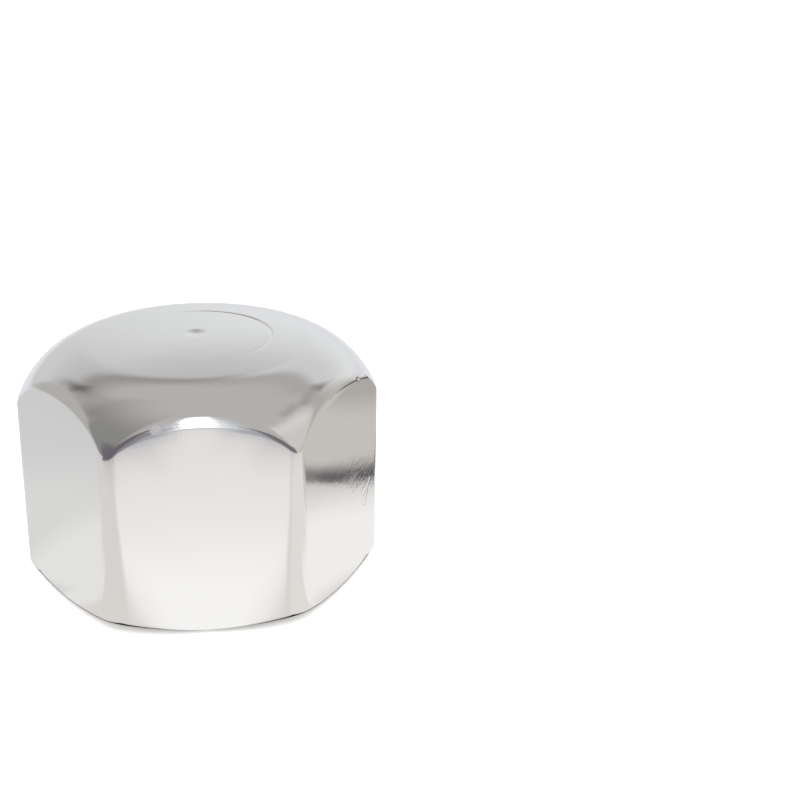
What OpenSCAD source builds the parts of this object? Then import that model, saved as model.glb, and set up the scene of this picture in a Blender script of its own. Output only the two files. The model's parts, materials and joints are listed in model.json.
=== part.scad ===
// Low cap nut in polished stainless steel, with a blind tapped hole.
// The nut stands on its open mouth at z = 0, its axis is Z, and its crown points up.
// One flat faces the front, along -Y, and the others follow at every 60 degrees.

/* [Hexagon] */
// Width across the flats, which the wrench grips
across_flats = 24; // [23:0.5:26]
// Overall height, from the bearing face to the top of the crown
height = 20; // [19:0.5:24]
// Radius of the six upright corners
corner_r = 1.3; // [0.6:0.1:1.8]

/* [Crown] */
// Radius of the broad shallow dome
dome_r = 64; // [50:2:90]
// Radius of the shoulder that rolls the dome over into the flats
shoulder_r = 6.8; // [5:0.2:8]
// Diameter of the turned form, a little more than the width across the corners
turned_d = 28.1; // [27.8:0.1:29.2]
// Diameter of the small centre mark at the top of the crown
centre_mark_d = 1.6; // [1:0.1:2.4]
// Depth of the centre mark
centre_mark_depth = 0.12; // [0.05:0.01:0.3]

/* [Mouth] */
// Outer diameter of the flat bearing face
face_d = 19; // [18.8:0.2:21]
// Slope of the outer chamfer, measured from the bearing face
chamfer_angle = 25; // [15:1:32]
// Radius that softens the rim between the bearing face and the chamfer
rim_r = 1.2; // [0.4:0.1:1.6]
// Diameter of the countersink at the bearing face, before its lip is rounded
sink_d = 16.8; // [16:0.1:17.2]
// Included angle of the countersink
sink_angle = 90; // [80:5:110]
// Radius of the rounded lip of the countersink
lip_r = 1; // [0.4:0.1:1.2]

/* [Tapped hole] */
// Nominal diameter of the thread
thread_d = 16; // [14:1:16]
// Pitch of the thread
pitch = 2; // [1.5:0.5:2]
// Depth of the straight wall of the hole, from the bearing face
bore_depth = 15; // [12:0.5:15.5]
// Included angle of the cone at the bottom of the hole
bottom_angle = 150; // [130:5:170]

/* [Hidden] */
$fn = 96;
// Overlap that carries a cut past the face that it opens
past = 1;
// A rounding disc stands this far proud of the faces that it joins, so that it crosses them cleanly
proud = 0.001;

// The crests of the thread stand where the wall of the hole is before tapping
wall_r = thread_d / 2 - 0.54127 * pitch;
bottom_h = wall_r / tan(bottom_angle / 2);

// The hexagon and the discs that round its corners
across_corners = across_flats / cos(30);
corner_centre = (across_flats / 2 - corner_r + proud) / cos(30);

// The crown: the shoulder touches the dome at blend_angle from the axis
turned_r = turned_d / 2;
dome_z = height - dome_r;
shoulder_x = turned_r - shoulder_r + proud;
shoulder_reach = dome_r - shoulder_r + proud;
blend_angle = asin(shoulder_x / shoulder_reach);
shoulder_z = dome_z + shoulder_reach * cos(blend_angle);

// A ball of this radius leaves a mark of the stated width and depth
mark_ball_r = (pow(centre_mark_d / 2, 2) + pow(centre_mark_depth, 2)) / (2 * centre_mark_depth);

// The rim of the bearing face, and the lip of the countersink
face_r = face_d / 2;
rim_centre_r = face_r - (rim_r - proud) * tan(chamfer_angle / 2);
sink_r = sink_d / 2;
sink_half = sink_angle / 2;
sink_h = (sink_r - wall_r) / tan(sink_half);
lip_sweep = 90 - sink_half;
lip_centre_r = sink_r + (lip_r - proud) * tan(lip_sweep / 2);

function along(angle) = [cos(angle), sin(angle)];

// What goes when a corner is rounded: all that lies past the disc, between two directions
module round_off(centre, r, from, to) {
    translate(centre)
        difference() {
            polygon([[0, 0], 2 * r * along(from), 2 * r * along(to)]);
            circle(r = r);
        }
}

// The plan of the bar: a hexagon whose corners are round
module hexagon_plan() {
    difference() {
        circle(d = across_corners, $fn = 6);
        for (angle = [0:60:300])
            round_off(corner_centre * along(angle), corner_r, angle - 30, angle + 30);
    }
}

// Half section of the turned outside: bearing face, rim, chamfer, shoulder and dome
module outside_section() {
    difference() {
        intersection() {
            translate([0, dome_z]) circle(r = dome_r);
            polygon([
                [0, 0],
                [face_r, 0],
                [turned_r, (turned_r - face_r) * tan(chamfer_angle)],
                [turned_r, height + past],
                [0, height + past]
            ]);
        }
        round_off([shoulder_x, shoulder_z], shoulder_r, 0, 90 - blend_angle);
        round_off([rim_centre_r, rim_r - proud], rim_r, -90, chamfer_angle - 90);
    }
}

// Half section of the blind hole: countersink, straight wall and flat cone at the bottom
module hole_section() {
    polygon([
        [0, -past],
        [sink_r + past * tan(sink_half), -past],
        [wall_r, sink_h],
        [wall_r, bore_depth],
        [0, bore_depth + bottom_h]
    ]);
}

// Half section of the whole nut
module nut_section() {
    difference() {
        outside_section();
        hole_section();
        round_off([lip_centre_r, lip_r - proud], lip_r, -90 - lip_sweep, -90);
    }
}

module cap_nut() {
    color([0.78, 0.77, 0.76])
        difference() {
            intersection() {
                linear_extrude(height + past) hexagon_plan();
                rotate_extrude() nut_section();
            }
            translate([0, 0, height - centre_mark_depth + mark_ball_r]) sphere(r = mark_ball_r);
        }
}

cap_nut();
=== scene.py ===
"""Looks of a low cap nut in polished stainless steel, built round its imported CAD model.

The nut is one piece of metal, so it is one closed mesh. Geometry Nodes draw it from the rule by
which the real one is made: a turned section is swept round the axis and cut back to a hexagon with
round corners.
"""

import ast
import json
import logging
import math
from dataclasses import dataclass, fields
from enum import Enum
from typing import Any, Union

import bpy
from mathutils import Euler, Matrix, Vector


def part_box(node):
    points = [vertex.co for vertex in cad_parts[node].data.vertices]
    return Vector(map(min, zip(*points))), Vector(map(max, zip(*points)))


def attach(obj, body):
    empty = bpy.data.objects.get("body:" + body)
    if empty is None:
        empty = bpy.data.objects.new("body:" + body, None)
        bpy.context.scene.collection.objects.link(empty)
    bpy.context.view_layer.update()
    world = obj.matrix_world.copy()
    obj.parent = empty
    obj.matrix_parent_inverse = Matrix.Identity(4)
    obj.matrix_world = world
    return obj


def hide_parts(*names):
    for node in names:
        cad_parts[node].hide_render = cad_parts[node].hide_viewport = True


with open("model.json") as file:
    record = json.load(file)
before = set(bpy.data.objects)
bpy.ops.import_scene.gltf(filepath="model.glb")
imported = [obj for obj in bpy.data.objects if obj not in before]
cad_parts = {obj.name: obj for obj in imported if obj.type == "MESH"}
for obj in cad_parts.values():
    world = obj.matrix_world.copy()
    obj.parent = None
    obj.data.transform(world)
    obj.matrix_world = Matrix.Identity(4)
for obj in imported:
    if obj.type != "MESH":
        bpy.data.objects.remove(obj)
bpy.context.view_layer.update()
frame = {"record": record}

log = logging.getLogger("cap_nut")

MM = 0.001
MICRON = 0.000001
NODE = "cap_nut"
BODY = "root"

Term = Union[float, bpy.types.NodeSocket]
# A place, a direction or a turn
Triple = tuple[float, float, float]


def linear(colour: str) -> tuple[float, float, float, float]:
    """Turns an sRGB hex colour into the linear values that Blender's sockets take.

    Args:
        colour: six hex digits after a hash, such as "#8090A0".

    Returns:
        Linear red, green, blue, and an alpha of 1.
    """
    parts = [int(colour[i:i + 2], 16) / 255 for i in (1, 3, 5)]
    red, green, blue = (
        part / 12.92 if part <= 0.04045 else ((part + 0.055) / 1.055) ** 2.4 for part in parts)
    return red, green, blue, 1.0


def linked_object(name: str, data: bpy.types.ID) -> bpy.types.Object:
    """Makes an object and adds it to the scene.

    Args:
        name: the object's name.
        data: its mesh, lamp or camera.

    Returns:
        The new object, at the origin.
    """
    made = bpy.data.objects.new(name, data)
    bpy.context.scene.collection.objects.link(made)
    return made


def empty_tree(owner: Union[bpy.types.Material, bpy.types.World]) -> bpy.types.NodeTree:
    """Turns on the nodes of a material or world, and clears them.

    Args:
        owner: the material or the world.

    Returns:
        Its node tree, with nothing in it.
    """
    owner.use_nodes = True
    owner.node_tree.nodes.clear()
    return owner.node_tree


def add_node(tree: bpy.types.NodeTree, kind: str, settings: dict[Any, Any]) -> bpy.types.Node:
    """Adds one node, with its options, its fixed inputs and its links.

    Args:
        tree: the node tree that gets the node.
        kind: the node's type, such as "ShaderNodeMath".
        settings: an option of the node by its own name, or an input by its label or number. An
            input that is given another node's output is linked to it, and any other value is set
            on it.

    Returns:
        The new node.
    """
    node = tree.nodes.new(kind)
    options = [key for key in settings if isinstance(key, str) and key.islower()]
    for key in options:
        setattr(node, key, settings[key])
    for key, value in settings.items():
        if key in options:
            continue
        if isinstance(value, bpy.types.NodeSocket):
            tree.links.new(value, node.inputs[key])
        else:
            node.inputs[key].default_value = value
    return node


class Formulas:
    """Formulas written out as text, which become Math nodes in a tree."""

    OPERATORS = {
        ast.Add: "ADD", ast.Sub: "SUBTRACT", ast.Mult: "MULTIPLY", ast.Div: "DIVIDE",
        ast.Pow: "POWER", ast.Gt: "GREATER_THAN",
    }
    FUNCTIONS = {
        "sin": "SINE", "cos": "COSINE", "tan": "TANGENT", "asin": "ARCSINE",
        "atan": "ARCTANGENT", "atan2": "ARCTAN2", "sqrt": "SQRT", "abs": "ABSOLUTE",
        "sign": "SIGN", "floor": "FLOOR", "fract": "FRACT", "wrap": "WRAP",
        "min": "MINIMUM", "max": "MAXIMUM",
    }

    def __init__(self, tree: bpy.types.NodeTree, names: dict[str, Term]) -> None:
        """Starts a set of formulas.

        Args:
            tree: the node tree that gets the Math nodes.
            names: what each name in a formula stands for, to which define() adds.
        """
        self.tree = tree
        self.names = {"degree": math.radians(1), **names}

    def define(self, name: str, text: str) -> None:
        """Works out a formula and keeps its result under a name."""
        self.names[name] = self.result(text)

    def result(self, text: str) -> Term:
        """Works out a formula and gives the socket, or the number, that holds its result."""
        return self._term(ast.parse(text.strip()).body[0].value)

    def _term(self, part: ast.expr) -> Term:
        """Turns one part of a formula into nodes.

        Args:
            part: the part, as Python's own parser gives it.

        Returns:
            The socket or number that holds the part's value.
        """
        if isinstance(part, ast.Constant):
            return float(part.value)
        if isinstance(part, ast.Name):
            return self.names[part.id]
        if isinstance(part, ast.UnaryOp):
            return self._math("MULTIPLY", [self._term(part.operand), -1.0])
        if isinstance(part, ast.BinOp):
            terms = [self._term(part.left), self._term(part.right)]
            return self._math(self.OPERATORS[type(part.op)], terms)
        if isinstance(part, ast.Compare):
            terms = [self._term(part.left), self._term(part.comparators[0])]
            return self._math(self.OPERATORS[type(part.ops[0])], terms)
        operation = self.FUNCTIONS[part.func.id]
        first, *others = [self._term(term) for term in part.args]
        if operation not in ("MINIMUM", "MAXIMUM"):
            return self._math(operation, [first, *others])
        for term in others:
            first = self._math(operation, [first, term])
        return first

    def _math(self, operation: str, terms: list[Term]) -> bpy.types.NodeSocket:
        """Adds one Math node that joins these terms."""
        settings = {"operation": operation, **dict(enumerate(terms))}
        return add_node(self.tree, "ShaderNodeMath", settings).outputs[0]


@dataclass(frozen=True)
class Dent:
    """A scratch, a nick or a knock: a groove between two places on the nut.

    The places and the reach are in millimetres, and the depth in microns. A knock that roughened
    the steel is matt, which adds to the steel's roughness there.
    """

    name: str
    start: Triple
    end: Triple
    reach_mm: float
    micron: float
    matt: float = 0.0


@dataclass(frozen=True)
class PolishedStainless:
    """Austenitic stainless steel, turned from hexagon bar and tumbled to a polish.

    The eye sees a bright, faintly warm mirror that is a little soft, because tumbling leaves a
    skin of shallow ripples, fine grain and hairline scratches on it. The grain, the streaks and
    the scratches are finer on the real steel, and are drawn as coarse and as deep as they need
    to be to show.
    """

    name: str = "polished_stainless_steel"
    colour: str = "#E8E7E6"
    # The roughness goes from low to high as the grain's noise, times a gain and less a start,
    # goes from 0 to 1
    roughness_low: float = 0.06
    roughness_high: float = 0.12
    roughness_gain: float = 1.6
    roughness_start: float = 0.3
    ripple_mm: float = 2.4
    ripple_micron: float = 7.0
    grain_mm: float = 0.3
    grain_micron: float = 1.5
    # Round this place the nut rubbed on others, which left fine slanting streaks. They fade to
    # nothing at one and a half times their reach, from half of it on.
    rubbed_place: Triple = (12.8 * MM, -1.8 * MM, 8.5 * MM)
    rubbed_reach: float = 6.2 * MM
    rubbed_end: float = 1.5
    rubbed_mm: float = 0.16
    rubbed_length_mm: float = 0.6
    rubbed_run: Triple = (0.40, 0.70, 0.59)
    rubbed_micron: float = 9.5
    # Two sets of scratches cross, each with its own turn. A scratch is where the noise of its set
    # is past a start.
    scratch_turns: tuple[Triple, ...] = ((0.3, 0.2, 0.4), (1.2, 0.5, 2.1))
    scratch_mm: float = 0.12
    scratch_length_mm: float = 2.5
    scratch_start: float = 0.62
    scratch_gain: float = 4.0
    scratch_micron: float = 1.2
    # A matt knock is rough up to three quarters of its reach, and its roughness fades beyond
    knock_gain: float = 4.0
    dents: tuple[Dent, ...] = (
        Dent("long_scratch", (12.90, -1.66, 8.15), (12.42, -2.48, 6.42), 0.13, 22.0),
        Dent("short_scratch", (12.72, -1.96, 7.70), (12.32, -2.66, 7.20), 0.11, 16.0),
        Dent("side_scratch", (12.30, -2.70, 8.10), (12.10, -3.05, 7.55), 0.08, 8.0),
        Dent("right_nick", (11.87, -3.26, 17.05), (11.97, -3.14, 17.02), 0.25, 25.0),
        Dent("right_graze", (9.56, -7.28, 17.22), (9.66, -7.11, 17.28), 0.3, 12.0),
        Dent("front_knock", (-3.19, -11.91, 17.02), (-3.12, -11.92, 17.02), 0.40, 1.5, 0.3),
    )

    def streaks(self, tree: bpy.types.NodeTree, place: bpy.types.NodeSocket, tilt: Euler,
                across: float, along: float) -> bpy.types.NodeSocket:
        """Adds a noise that is drawn out into streaks.

        Args:
            tree: the steel's node tree.
            place: the socket that holds the place on the nut.
            tilt: the turn that brings the streaks upright.
            across: the width of a streak, in millimetres.
            along: the length of a streak, in millimetres.

        Returns:
            The socket that holds the noise.
        """
        upright = add_node(tree, "ShaderNodeMapping", {"Vector": place, "Rotation": tilt})
        drawn_out = add_node(tree, "ShaderNodeMapping", {
            "Vector": upright.outputs[0],
            "Scale": Vector((1 / across, 1 / across, 1 / along)) / MM,
        })
        noise = add_node(tree, "ShaderNodeTexNoise", {
            "Vector": drawn_out.outputs[0], "Scale": 1.0, "Detail": 2.0})
        return noise.outputs["Fac"]

    def groove(self, tree: bpy.types.NodeTree, place: bpy.types.NodeSocket, dent: Dent) -> Term:
        """Adds the nodes for one dent.

        Args:
            tree: the steel's node tree.
            place: the socket that holds the place on the nut.
            dent: the dent.

        Returns:
            The socket that holds the dent's share at that place: 1 along its middle, and 0 outside
            it.
        """
        def vector(operation: str, *terms: Any) -> bpy.types.Node:
            """Adds one Vector Math node that joins these terms."""
            settings = {"operation": operation, **dict(enumerate(terms))}
            return add_node(tree, "ShaderNodeVectorMath", settings)

        start, end = (Vector(point) * MM for point in (dent.start, dent.end))
        run = end - start
        from_start = vector("SUBTRACT", place, start).outputs[0]
        along = vector("DOT_PRODUCT", from_start, run / run.length_squared).outputs["Value"]
        formulas = Formulas(tree, {"along": along, "reach": dent.reach_mm * MM})
        nearest = add_node(tree, "ShaderNodeVectorMath", {
            "operation": "SCALE", 0: run, "Scale": formulas.result("min(max(along, 0), 1)")})
        off = vector("DISTANCE", from_start, nearest.outputs[0])
        formulas.names["off"] = off.outputs["Value"]
        return formulas.result("max(1 - off / reach, 0)")

    def material(self) -> bpy.types.Material:
        """Builds the steel's material.

        Returns:
            A material whose ripples, grain, scratches and dents follow Object coordinates.
        """
        material = bpy.data.materials.new(self.name)
        tree = empty_tree(material)
        place = add_node(tree, "ShaderNodeTexCoord", {}).outputs["Object"]
        ripple = add_node(tree, "ShaderNodeTexNoise", {
            "Vector": place, "Scale": 1 / (self.ripple_mm * MM), "Detail": 1.0, "Roughness": 0.4})
        grain = add_node(tree, "ShaderNodeTexNoise", {
            "Vector": place, "Scale": 1 / (self.grain_mm * MM), "Detail": 3.0, "Roughness": 0.7})
        upright = Vector(self.rubbed_run).rotation_difference(Vector((0, 0, 1))).to_euler()
        off_rubbed = add_node(tree, "ShaderNodeVectorMath", {
            "operation": "DISTANCE", 0: place, 1: self.rubbed_place})
        numbers = {
            field.name: getattr(self, field.name) for field in fields(self) if field.type is float}
        formulas = Formulas(tree, {
            **numbers,
            "ripple": ripple.outputs["Fac"],
            "grain": grain.outputs["Fac"],
            "rubs": self.streaks(tree, place, upright, self.rubbed_mm, self.rubbed_length_mm),
            "off_rubbed": off_rubbed.outputs["Value"],
        })
        formulas.define("rubbed", "min(max(rubbed_end - off_rubbed / rubbed_reach, 0), 1)")
        formulas.define("scratches", "0")
        for turn in self.scratch_turns:
            formulas.names["streak"] = self.streaks(
                tree, place, Euler(turn), self.scratch_mm, self.scratch_length_mm)
            formulas.define(
                "scratches", "scratches + max(streak - scratch_start, 0) * scratch_gain")
        formulas.define("dents", "0")
        formulas.define("knocks", "0")
        for dent in self.dents:
            formulas.names.update({
                "share": self.groove(tree, place, dent), "micron": dent.micron,
                "matt": dent.matt})
            formulas.define("dents", "dents + micron * share")
            if dent.matt:
                formulas.define("knocks", "knocks + matt * min(share * knock_gain, 1)")
        height = formulas.result(
            "ripple * ripple_micron + grain * grain_micron + rubs * rubbed_micron * rubbed"
            " - scratches * scratch_micron - dents")
        formulas.define(
            "grain_share", "min(max(grain * roughness_gain - roughness_start, 0), 1)")
        roughness = formulas.result(
            "roughness_low + (roughness_high - roughness_low) * grain_share + knocks")
        bump = add_node(tree, "ShaderNodeBump", {
            "Height": height, "Distance": MICRON, "Strength": 1.0})
        surface = add_node(tree, "ShaderNodeBsdfPrincipled", {
            "Base Color": linear(self.colour),
            "Metallic": 1.0,
            "Roughness": roughness,
            "Normal": bump.outputs["Normal"],
        })
        add_node(tree, "ShaderNodeOutputMaterial", {"Surface": surface.outputs["BSDF"]})
        return material


@dataclass(frozen=True)
class Band:
    """One ring-shaped stretch of the nut's surface, between two lines of its section.

    The formulas give a point's radius and height from `along`, which goes from 0 to 1 across the
    band, and from the sizes and the other names that CapNut.rules() defines.
    """

    name: str
    rows: int
    radius: str
    height: str


def hexagon_rules(wall: str, corner: str) -> tuple[tuple[str, str], ...]:
    """Gives the formulas for how far a hexagon with round corners reaches from its axis.

    Args:
        wall: the name that the distance gets.
        corner: the name, or formula, of the radius of the hexagon's corners.

    Returns:
        Pairs of a name and its formula, in the order in which they are worked out.
    """
    return (
        ("corner", corner),
        ("corner_centre", "(across_flats / 2 - corner) / cos(30 * degree)"),
        ("flat_end", "atan((across_flats / 2 - corner) * tan(30 * degree) / (across_flats / 2))"),
        ("flat", "across_flats / 2 / cos(off_flat)"),
        ("off_centre", "corner_centre * sin(30 * degree - off_flat)"),
        ("round", "corner_centre * cos(30 * degree - off_flat)"
                  " + sqrt(corner ** 2 - off_centre ** 2)"),
        (wall, "flat + (off_flat > flat_end) * (round - flat)"),
    )


@dataclass
class CapNut:
    """The whole nut: its sizes, in metres and radians, and the rule that draws it.

    The nut stands on its open mouth at height 0. Its crown is a broad dome with a tighter
    shoulder, which leaves an arch where it meets a flat. The hole is blind and tapped. Each size
    is a named input of the tree that draws the nut.
    """

    across_flats: float
    height: float
    crest_radius: float
    corner_radius: float = 1.3 * MM
    heel_corner_radius: float = 2.5 * MM
    dome_radius: float = 64 * MM
    shoulder_radius: float = 6.8 * MM
    turned_radius: float = 14.05 * MM
    arch_radius: float = 1.8 * MM
    arch_tip_radius: float = 1.4 * MM
    mark_radius: float = 0.95 * MM
    mark_depth: float = 0.12 * MM
    ring_radius: float = 5.66 * MM
    ring_width: float = 0.16 * MM
    ring_depth: float = 0.07 * MM
    face_radius: float = 9.5 * MM
    chamfer_angle: float = math.radians(25)
    heel_radius: float = 0.42 * MM
    rim_radius: float = 1.2 * MM
    sink_radius: float = 8.4 * MM
    sink_angle: float = math.radians(45)
    lip_radius: float = 1.0 * MM
    pitch: float = 2.0 * MM
    threaded_turns: float = 6.5
    bore_depth: float = 15.0 * MM
    bottom_angle: float = math.radians(75)

    SIDES = 6
    # Columns of faces over half a flat: even ones as far as this many degrees from its middle,
    # then finer ones that turn the corner
    FLAT_COLUMNS = 14
    FLAT_END = 25.4
    CORNER_COLUMNS = 11
    ROWS_PER_PITCH = 16
    # The ring is deepest at this many degrees round from the right (+X), and fades to both sides
    # as this power of a cosine
    RING_DIRECTION = 35
    RING_POWER = 1.5
    # The corners get rounder down the side as this power of the way down
    HEEL_POWER = 1.15
    # The depth of a 60 degree thread, and the height over which it runs out, over its pitch
    THREAD_DEPTH = 0.54127
    RUN_OUT = 0.75
    # An edge that folds by more than this is left sharp
    CREASE = math.radians(28)
    MERGE_DISTANCE = 0.0001 * MM

    def rules(self) -> tuple[tuple[str, str], ...]:
        """Gives the formulas that the bands share.

        Returns:
            Pairs of a name and its formula, in the order in which they are worked out. `turn` goes
            from 0 to 1 round the nut, and `along` from 0 to 1 across a band.
        """
        return (
            # The direction of a column. Columns are even over a flat, and finer near a corner.
            ("side", f"turn * {self.SIDES}"),
            ("across", "fract(side) * 2 - 1"),
            ("even_share", f"{self.FLAT_COLUMNS / (self.FLAT_COLUMNS + self.CORNER_COLUMNS)}"),
            ("even_end", f"{self.FLAT_END} * degree"),
            ("even", "min(abs(across) / even_share, 1) * even_end"),
            ("fine", "max(abs(across) - even_share, 0) / (1 - even_share)"
                     " * (30 * degree - even_end)"),
            ("off_flat", "even + fine"),
            ("angle", "(floor(side) * 60 - 90) * degree + sign(across) * off_flat"),
            # The shoulder touches the dome at the angle `blend` from the axis
            ("dome_z", "height - dome_radius"),
            ("shoulder_x", "turned_radius - shoulder_radius"),
            ("blend", "asin(shoulder_x / (dome_radius - shoulder_radius))"),
            ("shoulder_z", "dome_z + (dome_radius - shoulder_radius) * cos(blend)"),
            # The ring is a fine tool mark, deepest on one side of the crown
            ("ring_start", "ring_radius - ring_width"),
            ("ring_end", "ring_radius + ring_width"),
            ("ring_cut", f"ring_depth * max(cos(angle - {self.RING_DIRECTION} * degree), 0)"
                         f" ** {self.RING_POWER}"),
            # The edge of the arch rolls from the shoulder to the flat, and is tighter at its tips
            *hexagon_rules("arch_wall", "corner_radius"),
            ("off_middle", "off_flat / (30 * degree)"),
            ("edge", "arch_radius + (arch_tip_radius - arch_radius) * off_middle ** 2"),
            ("arch_x", "arch_wall - edge"),
            ("arch_start", "asin((arch_x - shoulder_x) / (shoulder_radius - edge))"),
            ("arch_z", "shoulder_z + (shoulder_radius - edge) * cos(arch_start)"),
            # The corners get rounder towards the heel, where the flat meets the chamfer
            ("heel_share", f"along ** {self.HEEL_POWER}"),
            *hexagon_rules("side_wall", "corner_radius"
                                        " + (heel_corner_radius - corner_radius) * heel_share"),
            *hexagon_rules("heel_wall", "heel_corner_radius"),
            ("heel_x", "heel_wall - heel_radius"),
            ("heel_z", "(heel_x - face_radius) * tan(chamfer_angle)"
                       " + heel_radius / cos(chamfer_angle)"),
            ("heel_turn", "90 * degree - chamfer_angle"),
            ("chamfer_x", "heel_x + heel_radius * sin(chamfer_angle)"),
            ("chamfer_z", "heel_z - heel_radius * cos(chamfer_angle)"),
            ("rim_x", "face_radius - rim_radius * tan(chamfer_angle / 2)"),
            ("rim_start_x", "rim_x + rim_radius * sin(chamfer_angle)"),
            ("rim_start_z", "rim_radius * (1 - cos(chamfer_angle))"),
            ("lip_turn", "90 * degree - sink_angle"),
            ("lip_x", "sink_radius + lip_radius * tan(lip_turn / 2)"),
            # The thread's rows climb with the helix, and are held between its two end heights. The
            # first column of the turn stands a third of a turn before +X.
            ("thread_start", "lip_radius * (1 - cos(lip_turn))"),
            ("thread_end", "thread_start + pitch * threaded_turns"),
            ("turned", "angle / (360 * degree) + 1 / 3"),
            ("passes", "along * (threaded_turns + 1)"),
            ("climb", "thread_start + pitch * (passes - 1 + turned)"),
            ("thread_z", "min(max(climb, thread_start), thread_end)"),
            # A 60 degree thread: a crest a quarter of the pitch wide, and a root an eighth
            ("off_crest", "abs(fract(passes) - 0.5) * 2"),
            ("flank", "min(max((off_crest - 0.25) / 0.625, 0), 1)"),
            ("run_out", f"min((thread_end - thread_z) / ({self.RUN_OUT} * pitch), 1)"),
            ("thread_x", f"crest_radius + {self.THREAD_DEPTH} * pitch * flank * run_out"),
        )

    def bands(self) -> tuple[Band, ...]:
        """Gives the bands of the surface, from the top of the crown to the bottom of the hole.

        Returns:
            The bands in order, each of which starts where the one before it ends.
        """
        dome = "dome_z + sqrt(dome_radius ** 2 - radius ** 2)"
        shoulder_turn = "blend + (arch_start - blend) * along"
        arch_turn = "arch_start + (90 * degree - arch_start) * along"
        rim_turn = "heel_turn + chamfer_angle * along"
        thread_rows = round((self.threaded_turns + 1) * self.ROWS_PER_PITCH)
        return (
            Band("centre_mark", 8, "mark_radius * along",
                 f"{dome} - mark_depth * (1 - along ** 2) ** 2"),
            Band("inner_dome", 14, "mark_radius + (ring_start - mark_radius) * along", dome),
            Band("ring_mark", 8, "ring_start + 2 * ring_width * along",
                 f"{dome} - ring_cut * (1 - (2 * along - 1) ** 2) ** 2"),
            Band("outer_dome", 10,
                 "ring_end + (dome_radius * sin(blend) - ring_end) * along", dome),
            Band("shoulder", 24, f"shoulder_x + shoulder_radius * sin({shoulder_turn})",
                 f"shoulder_z + shoulder_radius * cos({shoulder_turn})"),
            Band("arch", 14, f"arch_x + edge * sin({arch_turn})",
                 f"arch_z + edge * cos({arch_turn})"),
            Band("side", 26, "side_wall", "arch_z + (heel_z - arch_z) * along"),
            Band("heel", 8, "heel_x + heel_radius * cos(heel_turn * along)",
                 "heel_z - heel_radius * sin(heel_turn * along)"),
            Band("chamfer", 8, "chamfer_x + (rim_start_x - chamfer_x) * along",
                 "chamfer_z + (rim_start_z - chamfer_z) * along"),
            Band("rim", 6, f"rim_x + rim_radius * cos({rim_turn})",
                 f"rim_radius * (1 - sin({rim_turn}))"),
            Band("bearing_face", 3, "rim_x + (lip_x - rim_x) * along", "0 * along"),
            Band("lip", 8, "lip_x - lip_radius * sin(lip_turn * along)",
                 "lip_radius * (1 - cos(lip_turn * along))"),
            Band("thread", thread_rows,
                 "max(sink_radius - thread_z * tan(sink_angle), thread_x)", "thread_z"),
            Band("bore", 3, "crest_radius + 0 * along",
                 "thread_end + (bore_depth - thread_end) * along"),
            Band("bottom", 12, "crest_radius * (1 - along)",
                 "bore_depth + crest_radius * along / tan(bottom_angle)"),
        )

    def surface(self, tree: bpy.types.NodeTree, formulas: Formulas) -> bpy.types.NodeSocket:
        """Adds the nodes that draw every band and sew them together.

        Args:
            tree: the nut's Geometry Nodes tree.
            formulas: the formulas that the bands share, already worked out.

        Returns:
            The socket that holds the closed surface.
        """
        joined = add_node(tree, "GeometryNodeJoinGeometry", {})
        columns = self.SIDES * 2 * (self.FLAT_COLUMNS + self.CORNER_COLUMNS)
        # A later link goes in front in the join, so the bands are joined from last to first
        for band in reversed(self.bands()):
            grid = add_node(tree, "GeometryNodeMeshGrid", {
                "Size X": 1.0, "Size Y": 1.0,
                "Vertices X": columns + 1, "Vertices Y": band.rows + 1})
            formulas.define("radius", band.radius)
            point = add_node(tree, "ShaderNodeCombineXYZ", {
                "X": formulas.result("radius * cos(angle)"),
                "Y": formulas.result("radius * sin(angle)"),
                "Z": formulas.result(band.height),
            })
            placed = add_node(tree, "GeometryNodeSetPosition", {
                "Geometry": grid.outputs["Mesh"], "Position": point.outputs[0]})
            tree.links.new(placed.outputs[0], joined.inputs[0])
        closed = add_node(tree, "GeometryNodeMergeByDistance", {
            "Geometry": joined.outputs[0], "Distance": self.MERGE_DISTANCE})
        outward = add_node(tree, "GeometryNodeFlipFaces", {"Mesh": closed.outputs[0]})
        return outward.outputs[0]

    def tree(self, steel: bpy.types.Material) -> bpy.types.NodeTree:
        """Builds the Geometry Nodes tree that draws the nut, with one named input for each size.

        Args:
            steel: the material that the tree sets.

        Returns:
            The tree, whose inputs have the names of this class's fields.
        """
        tree = bpy.data.node_groups.new("turned_hexagon", "GeometryNodeTree")
        for size in fields(self):
            tree.interface.new_socket(
                size.name, in_out="INPUT", socket_type="NodeSocketFloat")
        tree.interface.new_socket("nut", in_out="OUTPUT", socket_type="NodeSocketGeometry")
        sizes = add_node(tree, "NodeGroupInput", {})
        place = add_node(tree, "GeometryNodeInputPosition", {})
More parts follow.
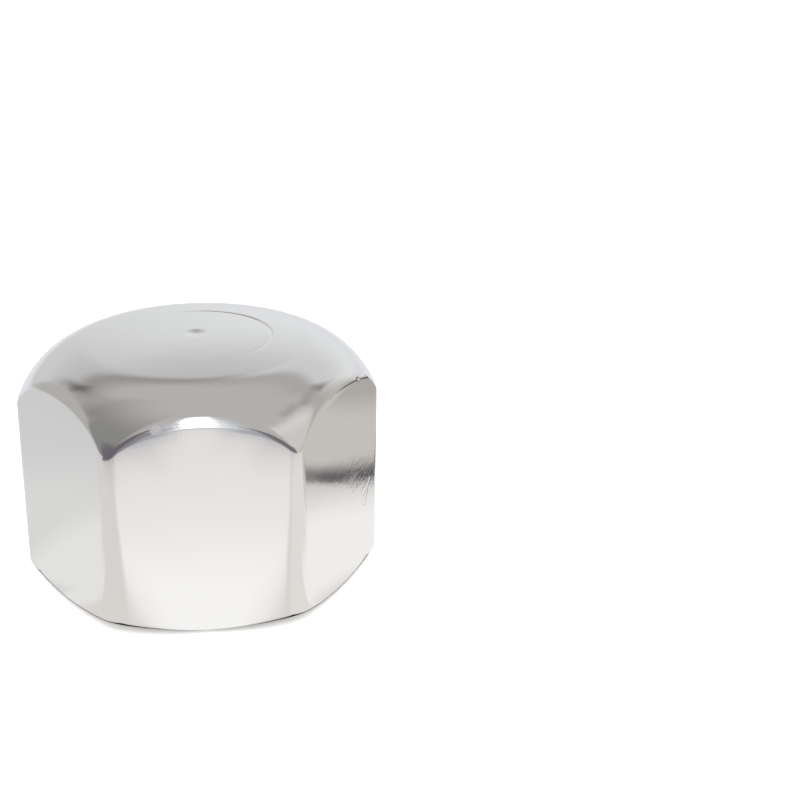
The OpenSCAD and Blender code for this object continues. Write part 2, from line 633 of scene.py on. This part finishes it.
        # Each band starts as a flat grid of side 1 round the origin
        grid_place = add_node(tree, "ShaderNodeSeparateXYZ", {0: place.outputs[0]})
        formulas = Formulas(tree, {
            **{size.name: sizes.outputs[size.name] for size in fields(self)},
            "grid_x": grid_place.outputs["X"], "grid_y": grid_place.outputs["Y"],
        })
        formulas.define("turn", "grid_x + 0.5")
        formulas.define("along", "grid_y + 0.5")
        for name, text in self.rules():
            formulas.define(name, text)
        smooth = add_node(tree, "GeometryNodeSetShadeSmooth", {
            "Geometry": self.surface(tree, formulas), "Shade Smooth": True})
        fold = add_node(tree, "GeometryNodeInputMeshEdgeAngle", {})
        sharp = add_node(tree, "FunctionNodeCompare", {
            "data_type": "FLOAT", "operation": "GREATER_THAN",
            0: fold.outputs["Unsigned Angle"], 1: self.CREASE})
        creased = add_node(tree, "GeometryNodeSetShadeSmooth", {
            "domain": "EDGE", "Geometry": smooth.outputs[0], "Selection": sharp.outputs[0],
            "Shade Smooth": False})
        real = add_node(tree, "GeometryNodeRealizeInstances", {"Geometry": creased.outputs[0]})
        dressed = add_node(tree, "GeometryNodeSetMaterial", {
            "Geometry": real.outputs[0], "Material": steel})
        add_node(tree, "NodeGroupOutput", {0: dressed.outputs[0]})
        return tree

    def build(self, steel: bpy.types.Material) -> bpy.types.Object:
        """Draws the nut and puts it in place of its CAD node.

        Args:
            steel: the nut's material.

        Returns:
            The finished nut, a plain closed mesh.
        """
        nut = linked_object("polished_cap_nut", bpy.data.meshes.new("polished_cap_nut"))
        modifier = nut.modifiers.new("turned_hexagon", "NODES")
        modifier.node_group = self.tree(steel)
        for item in modifier.node_group.interface.items_tree:
            if item.in_out == "INPUT":
                modifier[item.identifier] = getattr(self, item.name)
        drawn = nut.evaluated_get(bpy.context.evaluated_depsgraph_get())
        mesh = bpy.data.meshes.new_from_object(drawn)
        nut.modifiers.clear()
        # A mesh made by a tree has an empty material slot in front of its own
        mesh.materials.pop(index=0)
        nut.data = mesh
        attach(nut, BODY)
        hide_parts(NODE)
        return nut


class Seen(Enum):
    """The kinds of ray that a surface or the world may answer in its own way."""

    CAMERA = "Is Camera Ray"
    GLOSSY = "Is Glossy Ray"


@dataclass(frozen=True)
class Glow:
    """A soft-edged patch of the surroundings that the steel mirrors, as a stretch of directions.

    Angles are in degrees. Azimuth 0 is straight behind the nut (+Y) and 90 is to its right (+X).
    The patch lies between two elevations, and its edges are soft over twice `soft`.
    """

    name: str
    azimuth: float
    half_width: float
    low: float
    high: float
    soft: float
    colour: str
    strength: float = 1.0


def patch_tree() -> bpy.types.NodeTree:
    """Builds the node group that lays one Glow over the colours behind it.

    Returns:
        The group, which takes a direction, the glow's own values and two colours, and gives a
        colour.
    """
    tree = bpy.data.node_groups.new("soft_patch", "ShaderNodeTree")
    values = ("azimuth", "elevation", "middle", "half_width", "low", "high", "soft")
    for name in values:
        tree.interface.new_socket(name, in_out="INPUT", socket_type="NodeSocketFloat")
    for name in ("behind", "colour"):
        tree.interface.new_socket(name, in_out="INPUT", socket_type="NodeSocketColor")
    tree.interface.new_socket("mixed", in_out="OUTPUT", socket_type="NodeSocketColor")
    given = add_node(tree, "NodeGroupInput", {}).outputs
    formulas = Formulas(tree, {name: given[name] for name in values})
    formulas.define("beside", "abs(wrap(azimuth - middle, 180, -180)) - half_width")
    formulas.define("above", "abs(elevation - (low + high) / 2) - (high - low) / 2")
    formulas.define("share", "min(max(0.5 - max(beside, above) / (2 * soft), 0), 1)")
    mixed = add_node(tree, "ShaderNodeMix", {
        "data_type": "RGBA", 0: formulas.result("share ** 2 * (3 - 2 * share)"),
        6: given["behind"], 7: given["colour"]})
    add_node(tree, "NodeGroupOutput", {0: mixed.outputs[2]})
    return tree


@dataclass(frozen=True)
class Room:
    """What stands round the nut: a white tent, and patches of colour that only the steel mirrors.

    The tent lights matt surfaces. Its level rises with the height of the direction. The patches
    light nothing: they are a painted reflection of walls, cards and the table, with the lamp's
    painted highlight and painted shade in it.
    """

    # The tent's level at the horizon and below it, and straight overhead
    level_low: float = 0.8
    level_high: float = 1.28
    # The mirrored colour where no glow lies. Each glow lies over the ones before it.
    ceiling: str = "#C3C0BF"
    glows: tuple[Glow, ...] = (
        Glow("left_wall", -104, 38, 0, 60, 22, "#939391"),
        Glow("left_card_shade", -24, 36, 0, 50, 8, "#A29F9E"),
        Glow("right_card_shade", 35, 30, 0, 56, 8, "#B7B5B4"),
        Glow("left_gap", -66, 23, -2, 38, 6, "#BFBDBA"),
        Glow("right_gap", 68, 14, 0, 44, 6, "#BCB8B4"),
        Glow("left_card", -14, 24, 0, 38.5, 5, "#CDCDCE"),
        Glow("right_card", 31, 22, 0, 43, 5, "#DDDDDE"),
        Glow("left_card_foot", -16, 26, 0, 24, 10, "#DADBDC"),
        Glow("right_card_foot", 28, 32, 0, 24, 12, "#EFF1F3"),
        Glow("left_card_end", -46, 4, 35, 44, 4, "#6F6B6A"),
        Glow("right_card_end", 57, 3, 35, 42, 5, "#8A8684"),
        Glow("right_wall", 107, 23, 0, 42, 6, "#DBD8D6"),
        Glow("right_wall_top", 112, 18, 33, 42, 5, "#E5E4E2"),
        Glow("right_wall_ledge", 74, 10, 42.5, 47, 3, "#AAA6A5"),
        Glow("right_wall_far_ledge", 94, 11, 47, 52, 3, "#AFACAA"),
        # The table as the steel mirrors it, with its light and shade painted in: darker to the
        # left and far off, brighter near the nut, painted shade at the nut's foot and a painted
        # shadow at the card's foot
        Glow("table_left", -90, 90, -90, 0, 2, "#DFDFE0"),
        Glow("table_right", 90, 90, -90, 0, 2, "#EAE8E6"),
        Glow("table_back", 0, 50, -90, 0, 4, "#EDF0F5"),
        Glow("table_near_left", -90, 40, -60, -15, 5, "#F7F7F7"),
        Glow("left_dim", -64, 20, -60, -15, 6, "#E9E9E8"),
        Glow("left_corner", -140, 22, -60, -9, 3, "#EBE8E5"),
        Glow("left_corner_far", -136, 32, -19, -9, 3, "#EBE8E5"),
        Glow("table_near_right", 80, 50, -60, -14, 4, "#FFFEFC", 1.05),
        # Painted shade: the table is darker near the nut's foot at both sides, and towards the far
        # right
        Glow("left_foot", -92, 14, -60, -29.5, 2, "#E4E3E2"),
        Glow("right_foot", 108, 18, -60, -30, 2, "#F0EEEC"),
        Glow("right_edge", 104, 20, -13, 0, 3, "#D0CCC8"),
        Glow("right_horizon", 72, 14, -8, 2, 2, "#C6C2BD"),
        Glow("card_shadow", 82, 16, -16.4, -5, 3.5, "#D9D6D3"),
        Glow("right_corner", 141, 12, -60, -9, 3, "#F4F1EE"),
        Glow("right_corner_far", 128, 25, -19, -9, 3, "#F4F1EE"),
        Glow("table_front", 180, 16, -90, 0, 4, "#F7F4F3"),
        # Painted light: the table in front is brighter close to the nut
        Glow("table_front_near", 180, 16, -60, -14, 8, "#FFFFFF", 1.13),
        Glow("far_left", -141, 26, -8, 26, 4, "#736F77"),
        Glow("far_left_end", -170, 4, -8, 12, 3, "#8C8A92"),
        Glow("left_of_lamp", -175, 2, -8, 12, 2, "#ABAFB6"),
        Glow("far_right", 150, 22, -8, 10, 3, "#7A787E"),
        Glow("right_of_lamp", 174, 3, -8, 10, 2, "#B4B7BD"),
        # Painted highlight: the mirror image of the softbox, with its soft fringe
        Glow("high_fringe", 179, 9, 14, 46, 4, "#CBD0D6"),
        Glow("low_fringe", 180, 4, -3, 20, 2, "#CDD2D8"),
        Glow("right_fringe", 176, 2, 0, 33, 2, "#EAEEF4"),
        Glow("high_lamp", 180.8, 4.4, 28, 48, 1.5, "#FFFFFF", 2.2),
        Glow("middle_lamp", 180.6, 3, 13, 32, 1.5, "#FFFFFF", 2.2),
        Glow("low_lamp", 180.2, 2, 0, 18, 1.5, "#FFFFFF", 2.2),
    )

    def mirrored(self, tree: bpy.types.NodeTree, places: dict[str, Term]) -> bpy.types.NodeSocket:
        """Adds the nodes that give the colour the steel mirrors in a direction.

        Args:
            tree: the node tree that gets the nodes.
            places: the direction, as x, y and z of any length.

        Returns:
            The socket that holds the colour.
        """
        formulas = Formulas(tree, places)
        azimuth = formulas.result("atan2(x, y) / degree")
        elevation = formulas.result("atan2(z, sqrt(x ** 2 + y ** 2)) / degree")
        colour: Any = linear(self.ceiling)
        patch = bpy.data.node_groups.get("soft_patch") or patch_tree()
        for glow in self.glows:
            red, green, blue, _ = (part * glow.strength for part in linear(glow.colour))
            colour = add_node(tree, "ShaderNodeGroup", {
                "node_tree": patch, 0: azimuth, 1: elevation,
                2: glow.azimuth, 3: glow.half_width, 4: glow.low, 5: glow.high, 6: glow.soft,
                7: colour, 8: (red, green, blue, 1.0)}).outputs[0]
        return colour

    def build(self) -> None:
        """Gives the scene a world with this room in it."""
        world = bpy.data.worlds.new("light_tent")
        bpy.context.scene.world = world
        tree = empty_tree(world)
        direction = add_node(tree, "ShaderNodeTexCoord", {}).outputs["Generated"]
        parts = add_node(tree, "ShaderNodeSeparateXYZ", {0: direction})
        colour = self.mirrored(tree, {axis.lower(): parts.outputs[axis] for axis in "XYZ"})
        seen = add_node(tree, "ShaderNodeLightPath", {}).outputs
        formulas = Formulas(tree, {
            "up": parts.outputs["Z"], "low": self.level_low, "high": self.level_high})
        white = linear("#FFFFFF")
        tent = add_node(tree, "ShaderNodeBackground", {
            "Color": white, "Strength": formulas.result("low + (high - low) * max(up, 0)")})
        # Glossy rays see the room's painted reflection, which lights nothing
        cards = add_node(tree, "ShaderNodeBackground", {"Color": colour, "Strength": 1.0})
        backdrop = add_node(tree, "ShaderNodeBackground", {"Color": white, "Strength": 1.0})
        mirrored = add_node(tree, "ShaderNodeMixShader", {
            0: seen[Seen.GLOSSY.value], 1: tent.outputs[0], 2: cards.outputs[0]})
        shown = add_node(tree, "ShaderNodeMixShader", {
            0: seen[Seen.CAMERA.value], 1: mirrored.outputs[0], 2: backdrop.outputs[0]})
        add_node(tree, "ShaderNodeOutputWorld", {"Surface": shown.outputs[0]})


@dataclass(frozen=True)
class Table:
    """The white table top that the nut stands on."""

    room: Room
    size: float = 1.6
    colour: str = "#F4F3F1"
    # The steel mirrors the table as a glow in the room's painted colours, as seen from this height
    # over its middle
    eye_height: float = 8 * MM
    # Painted shade: in the steel's mirror the table is dark up to these distances, for the shadow
    # in the gap under the chamfer: in front, at the other flats and at the corners. The dark fades
    # over its edge.
    shade_front: float = 9.5 * MM
    shade_flat: float = 11.4 * MM
    shade_corner: float = 12.4 * MM
    shade_edge: float = 1.3 * MM
    # The front's distance turns into the other flats' over this many degrees to each side
    front_half_width: float = 25

    def material(self) -> bpy.types.Material:
        """Builds matt white paper, which the steel mirrors in the room's own colours.

        Returns:
            The table's material.
        """
        material = bpy.data.materials.new("matt_white_paper")
        tree = empty_tree(material)
        place = add_node(tree, "ShaderNodeTexCoord", {}).outputs["Object"]
        parts = add_node(tree, "ShaderNodeSeparateXYZ", {0: place})
        seen = add_node(tree, "ShaderNodeLightPath", {}).outputs
        places = {"x": parts.outputs["X"], "y": parts.outputs["Y"], "z": -self.eye_height}
        formulas = Formulas(tree, {
            **places, "at_front": self.shade_front, "at_flat": self.shade_flat,
            "at_corner": self.shade_corner, "edge": self.shade_edge,
            "front_half_width": self.front_half_width})
        formulas.define("azimuth", "atan2(x, y) / degree")
        formulas.define("off_flat", "wrap(azimuth, 30, -30)")
        formulas.define("distance", "sqrt(x ** 2 + y ** 2) * cos(off_flat * degree)")
        formulas.define(
            "aside", "min(abs(wrap(azimuth - 180, 180, -180)) / front_half_width, 1)")
        formulas.define("shade", "at_front + (at_flat - at_front) * aside"
                                 " + (at_corner - at_flat) * (off_flat / 30) ** 4")
        paper = add_node(tree, "ShaderNodeBsdfDiffuse", {"Color": linear(self.colour)})
        # Painted reflection and painted shade: glossy rays see a glow in the room's colours, which
        # darkens to nothing towards the nut's foot
        mirrored = add_node(tree, "ShaderNodeEmission", {
            "Color": self.room.mirrored(tree, places),
            "Strength": formulas.result("min(max((distance - shade) / edge, 0), 1)"),
        })
        surface = add_node(tree, "ShaderNodeMixShader", {
            0: seen[Seen.GLOSSY.value], 1: paper.outputs[0], 2: mirrored.outputs[0]})
        add_node(tree, "ShaderNodeOutputMaterial", {"Surface": surface.outputs[0]})
        return material

    def build(self) -> bpy.types.Object:
        """Makes the table top.

        Returns:
            A square sheet at height 0, which isn't part of the nut.
        """
        half = self.size / 2
        mesh = bpy.data.meshes.new("table")
        corners = [(-half, -half, 0), (half, -half, 0), (half, half, 0), (-half, half, 0)]
        mesh.from_pydata(corners, [], [(0, 1, 2, 3)])
        mesh.materials.append(self.material())
        table = linked_object("table", mesh)
        return table


@dataclass(frozen=True)
class Softbox:
    """The lamp in front, which lights the table right up to the nut's foot.

    Its elevation is in degrees and its power in watts.
    """

    width: float = 90 * MM
    length: float = 300 * MM
    distance: float = 600 * MM
    elevation: float = 28
    power: float = 8.0

    def build(self) -> bpy.types.Object:
        """Makes the lamp, which the steel doesn't mirror, as the room holds its mirror image.

        Returns:
            The lamp.
        """
        data = bpy.data.lights.new("softbox", "AREA")
        data.shape = "RECTANGLE"
        data.size, data.size_y = self.width, self.length
        data.energy = self.power
        lamp = linked_object("softbox", data)
        tilt = math.radians(self.elevation)
        lamp.location = (0, -self.distance * math.cos(tilt), self.distance * math.sin(tilt))
        lamp.rotation_euler = (math.radians(90) - tilt, 0, 0)
        lamp.visible_glossy = False
        return lamp


@dataclass(frozen=True)
class SideCard:
    """A curved card at the right, which only the steel's mirror shows: beige, with dark edges."""

    # The card is a painted reflection of a neighbouring nut: its beige is that nut's flank, and
    # its dark foot a painted shadow under it
    middle: tuple[float, float] = (39.2 * MM, 13.1 * MM)
    radius: float = 12.5 * MM
    height: float = 15 * MM
    foot: float = 1.2 * MM
    # The top edge is dark from this height up, behind this place
    dark_height: float = 14.2 * MM
    dark_place: float = 5.0 * MM
    # There it already gets darker from this height up
    shade_height: float = 6.0 * MM
    shade: float = 0.3
    # The foot is dark up to this share of its height: a painted shadow under the neighbouring nut.
    # In front of its place the dark fades, and behind it the dark reaches higher.
    foot_dark: float = 0.6
    foot_place: float = 5.6 * MM
    foot_fade: float = 5.5 * MM
    foot_rise: float = 0.1
    # The neighbouring nut's mirrored flank, and the painted shadow at its foot
    colour: str = "#D5D1CC"
    foot_colour: str = "#5A565A"
    columns: int = 24

    def material(self) -> bpy.types.Material:
        """Builds a card that glows evenly, so that its mirror image has its own colours.

        Returns:
            The card's material.
        """
        # Painted reflection: the card's glow paints a neighbouring nut, with a painted shadow at
        # its foot
        material = bpy.data.materials.new("beige_card")
        tree = empty_tree(material)
        place = add_node(tree, "ShaderNodeTexCoord", {}).outputs["Object"]
        parts = add_node(tree, "ShaderNodeSeparateXYZ", {0: place})
        formulas = Formulas(tree, {
            "height": parts.outputs["Z"], "y": parts.outputs["Y"], "foot": self.foot,
            "dark_height": self.dark_height, "dark_place": self.dark_place,
            "foot_place": self.foot_place, "foot_fade": self.foot_fade,
            "foot_rise": self.foot_rise, "foot_dark": self.foot_dark,
            "shade_height": self.shade_height, "shade": self.shade})
        formulas.define("shaded", "min(max((height - shade_height) / (2 * foot), 0), 1)"
                                  " * min(max((y - dark_place) / foot, 0), 1)")
        formulas.define(
            "over_foot", "max((height - foot_rise * (y - foot_place)) / foot - foot_dark,"
                         " (foot_place - y) / foot_fade, 0)")
        formulas.define("under_top", "max(dark_height - height, dark_place - y, 0) / foot")
        share = formulas.result("min(over_foot, under_top, 1 - shade * shaded)")
        colour = add_node(tree, "ShaderNodeMix", {
            "data_type": "RGBA", 0: share, 6: linear(self.foot_colour), 7: linear(self.colour)})
        glow = add_node(tree, "ShaderNodeEmission", {"Color": colour.outputs[2], "Strength": 1.0})
        add_node(tree, "ShaderNodeOutputMaterial", {"Surface": glow.outputs[0]})
        return material

    def build(self) -> bpy.types.Object:
        """Makes the card.

        Returns:
            Half a round wall that faces the nut and isn't part of it.
        """
        facing = math.atan2(-self.middle[1], -self.middle[0])
        points, faces = [], []
        for column in range(self.columns + 1):
            angle = facing + math.pi * (column / self.columns - 0.5)
            x = self.middle[0] + self.radius * math.cos(angle)
            y = self.middle[1] + self.radius * math.sin(angle)
            points += [(x, y, 0), (x, y, self.height)]
            if column:
                faces.append((2 * column - 2, 2 * column, 2 * column + 1, 2 * column - 1))
        mesh = bpy.data.meshes.new("side_card")
        mesh.from_pydata(points, [], faces)
        mesh.materials.append(self.material())
        card = linked_object("side_card", mesh)
        card.visible_camera = card.visible_diffuse = card.visible_shadow = False
        card.visible_transmission = card.visible_volume_scatter = False
        return card


@dataclass(frozen=True)
class Camera:
    """The camera, which looks down from the front and has the nut to the left of its middle.

    Its turns are in degrees, and its lens in millimetres.
    """

    eye: Triple = (-0.9 * MM, -143.3 * MM, 70.7 * MM)
    pan: float = 6.506
    tilt: float = 21.5
    roll: float = 0.18
    lens: float = 90.45

    def build(self) -> bpy.types.Object:
        """Makes the camera and hands it to the scene.

        Returns:
            The camera.
        """
        data = bpy.data.cameras.new("camera")
        data.lens = self.lens
        data.clip_start = 1 * MM
        camera = linked_object("camera", data)
        camera.location = self.eye
        aim = Euler((math.radians(90 - self.tilt), 0, math.radians(-self.pan)))
        level = Euler((0, 0, math.radians(self.roll)))
        camera.rotation_euler = (aim.to_matrix() @ level.to_matrix()).to_euler()
        bpy.context.scene.camera = camera
        return camera


def nut_from_frame() -> CapNut:
    """Takes the nut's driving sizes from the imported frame.

    Returns:
        A nut as wide, as high and as wide in the bore as its CAD model.
    """
    low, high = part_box(NODE)
    threads = [mount for mount in frame["record"]["mounts"] if mount["kind"] == "threaded_hole"]
    return CapNut(
        across_flats=high.y - low.y,
        height=high.z - low.z,
        crest_radius=threads[0]["dims"]["r_mm"] * MM,
    )


def main() -> None:
    """Builds the camera, the surroundings and the nut."""
    bpy.context.scene.view_settings.view_transform = "Standard"
    Camera().build()
    room = Room()
    room.build()
    Table(room).build()
    Softbox().build()
    SideCard().build()
    nut = nut_from_frame().build(PolishedStainless().material())
    log.info("%s: %d faces, finish %s",
             nut.name, len(nut.data.polygons), nut.data.materials[0].name)


if __name__ == "__main__":
    logging.basicConfig(level=logging.INFO)
    main()
